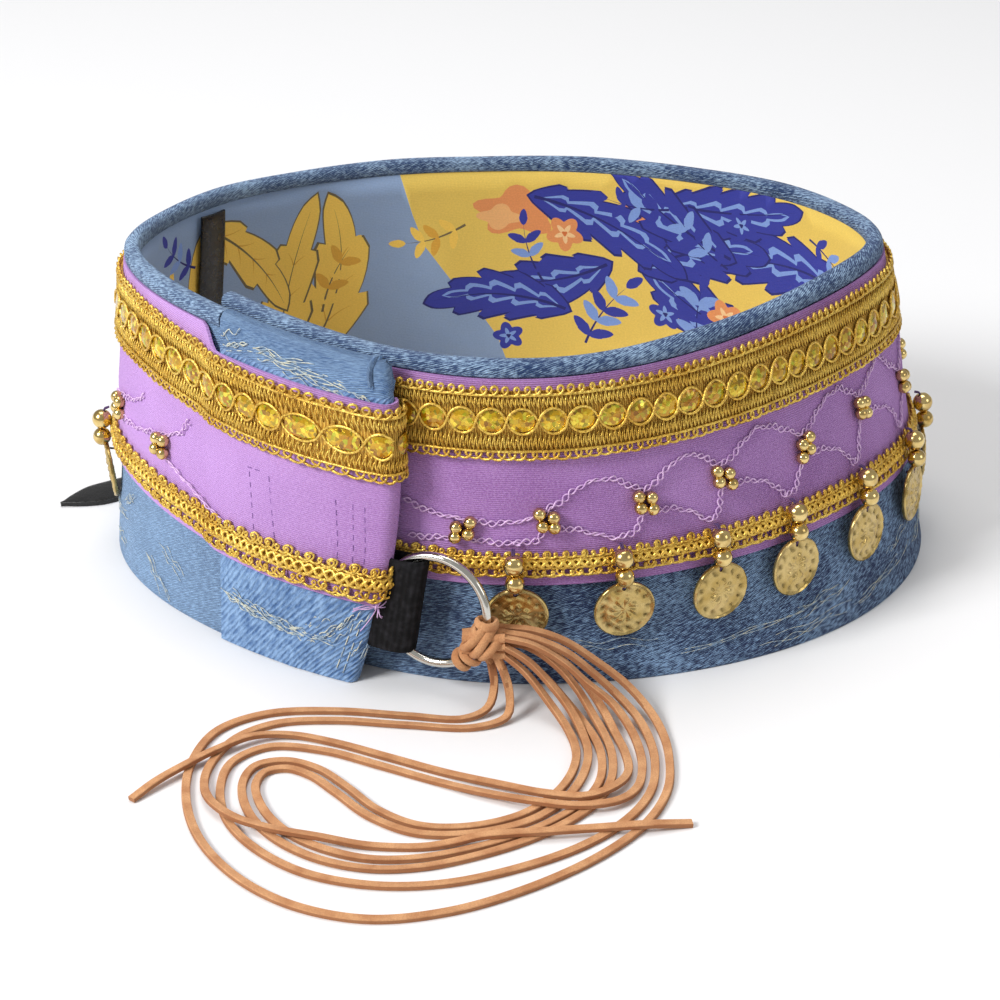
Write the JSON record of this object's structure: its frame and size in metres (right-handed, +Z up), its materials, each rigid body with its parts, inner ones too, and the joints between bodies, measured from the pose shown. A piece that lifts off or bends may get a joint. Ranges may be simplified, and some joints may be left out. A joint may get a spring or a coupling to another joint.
{
  "type": "coin belt",
  "caption": "Denim hip belt closed in a ring, with a lilac panel, gold braids, hanging coin drops, a ring on a webbing loop and a tied suede lace.",
  "frame": {"origin": "on the surface the belt stands on, under the middle of the belt without its lace", "axes": "+Z up, -Y to the front with the lapped end and the lace, +X to the wearer's left as seen from the front"},
  "size_m": [0.2818, 0.3086, 0.0984],
  "materials": {
    "denim": "washed cotton twill, frayed pale threads at the cut edges",
    "lining_print": "smooth printed lining, grey-blue and yellow grounds with leaf scrolls",
    "lilac_cotton": "plain matt cotton",
    "gold_braid": "metallic gimp braid with sequins in looped frames",
    "gold_coin": "stamped antique gold, glossy round beads",
    "steel_ring": "polished nickel plate",
    "black_webbing": "black ribbed webbing and strap with a soft sheen",
    "suede": "tan suede lace, napped faces"
  },
  "bodies": {
    "belt": {"denim_band": "denim", "lining": "lining_print", "rim_binding": "denim", "end_facing": "denim", "cotton_panel": "lilac_cotton", "sequin_braid": "gold_braid", "gimp_braid": "gold_braid", "coin_drop_01": "gold_coin", "o_ring": "steel_ring", "webbing_loop": "black_webbing", "lace_knot": "suede", "inner_strap": "black_webbing", "strap_tongue": "black_webbing", "lace_outer_loop": "suede", "lace_middle_loop": "suede", "lace_inner_loop": "suede", "lace_small_loop": "suede", "lace_right_end": "suede", "lace_left_end": "suede"},
    "coin_drop_02": {"coin_drop_02": "gold_coin"},
    "coin_drop_03": {"coin_drop_03": "gold_coin"},
    "coin_drop_04": {"coin_drop_04": "gold_coin"},
    "coin_drop_05": {"coin_drop_05": "gold_coin"},
    "coin_drop_06": {"coin_drop_06": "gold_coin"},
    "coin_drop_07": {"coin_drop_07": "gold_coin"},
    "coin_drop_08": {"coin_drop_08": "gold_coin"},
    "coin_drop_09": {"coin_drop_09": "gold_coin"},
    "coin_drop_10": {"coin_drop_10": "gold_coin"},
    "coin_drop_11": {"coin_drop_11": "gold_coin"},
    "coin_drop_12": {"coin_drop_12": "gold_coin"},
    "coin_drop_13": {"coin_drop_13": "gold_coin"},
    "coin_drop_14": {"coin_drop_14": "gold_coin"},
    "coin_drop_15": {"coin_drop_15": "gold_coin"},
    "coin_drop_16": {"coin_drop_16": "gold_coin"},
    "coin_drop_17": {"coin_drop_17": "gold_coin"},
    "coin_drop_18": {"coin_drop_18": "gold_coin"}
  },
  "joints": [
    {"name": "drop_02_swing", "type": "hinge", "parent": "belt", "child": "coin_drop_02", "pos_m": [0.03672, -0.08861, 0.04513], "axis": [-0.9655, -0.2535, -0.0588], "range_deg": [0, 70]},
    {"name": "drop_03_swing", "type": "hinge", "parent": "belt", "child": "coin_drop_03", "pos_m": [0.06425, -0.07757, 0.04546], "axis": [-0.8821, -0.4703, -0.0283], "range_deg": [0, 70]},
    {"name": "drop_04_swing", "type": "hinge", "parent": "belt", "child": "coin_drop_04", "pos_m": [0.08705, -0.0625, 0.04571], "axis": [-0.7871, -0.6163, 0.0244], "range_deg": [0, 70]},
    {"name": "drop_05_swing", "type": "hinge", "parent": "belt", "child": "coin_drop_05", "pos_m": [0.10988, -0.04078, 0.04583], "axis": [-0.6549, -0.7511, 0.0835], "range_deg": [0, 70]},
    {"name": "drop_06_swing", "type": "hinge", "parent": "belt", "child": "coin_drop_06", "pos_m": [0.12757, -0.01469, 0.04568], "axis": [-0.4292, -0.8976, 0.1009], "range_deg": [0, 70]},
    {"name": "drop_07_swing", "type": "hinge", "parent": "belt", "child": "coin_drop_07", "pos_m": [0.13434, 0.01273, 0.04545], "axis": [-0.0013, -0.9987, 0.0512], "range_deg": [0, 70]},
    {"name": "drop_08_swing", "type": "hinge", "parent": "belt", "child": "coin_drop_08", "pos_m": [0.12649, 0.04307, 0.04534], "axis": [0.4705, -0.8784, 0.0839], "range_deg": [0, 70]},
    {"name": "drop_09_swing", "type": "hinge", "parent": "belt", "child": "coin_drop_09", "pos_m": [0.10667, 0.0672, 0.04525], "axis": [0.7551, -0.6491, 0.0925], "range_deg": [0, 70]},
    {"name": "drop_10_swing", "type": "hinge", "parent": "belt", "child": "coin_drop_10", "pos_m": [0.08032, 0.0841, 0.0452], "axis": [0.8991, -0.4289, 0.0872], "range_deg": [0, 70]},
    {"name": "drop_11_swing", "type": "hinge", "parent": "belt", "child": "coin_drop_11", "pos_m": [0.0509, 0.09446, 0.04517], "axis": [0.9687, -0.2363, 0.0758], "range_deg": [0, 70]},
    {"name": "drop_12_swing", "type": "hinge", "parent": "belt", "child": "coin_drop_12", "pos_m": [0.01993, 0.09907, 0.04514], "axis": [0.9963, -0.0594, 0.0614], "range_deg": [0, 70]},
    {"name": "drop_13_swing", "type": "hinge", "parent": "belt", "child": "coin_drop_13", "pos_m": [-0.01129, 0.09824, 0.0451], "axis": [0.9925, 0.1132, 0.0452], "range_deg": [0, 70]},
    {"name": "drop_14_swing", "type": "hinge", "parent": "belt", "child": "coin_drop_14", "pos_m": [-0.04185, 0.09192, 0.04505], "axis": [0.9554, 0.2939, 0.0273], "range_deg": [0, 70]},
    {"name": "drop_15_swing", "type": "hinge", "parent": "belt", "child": "coin_drop_15", "pos_m": [-0.0706, 0.07963, 0.04499], "axis": [0.8685, 0.4956, 0.0074], "range_deg": [0, 70]},
    {"name": "drop_16_swing", "type": "hinge", "parent": "belt", "child": "coin_drop_16", "pos_m": [-0.09541, 0.06053, 0.04494], "axis": [0.6892, 0.7244, -0.0149], "range_deg": [0, 70]},
    {"name": "drop_17_swing", "type": "hinge", "parent": "belt", "child": "coin_drop_17", "pos_m": [-0.11287, 0.03435, 0.04494], "axis": [0.3423, 0.9388, -0.0382], "range_deg": [0, 70]},
    {"name": "drop_18_swing", "type": "hinge", "parent": "belt", "child": "coin_drop_18", "pos_m": [-0.11925, 0.00215, 0.04506], "axis": [-0.2409, 0.9687, -0.0602], "range_deg": [0, 70]}
  ]
}
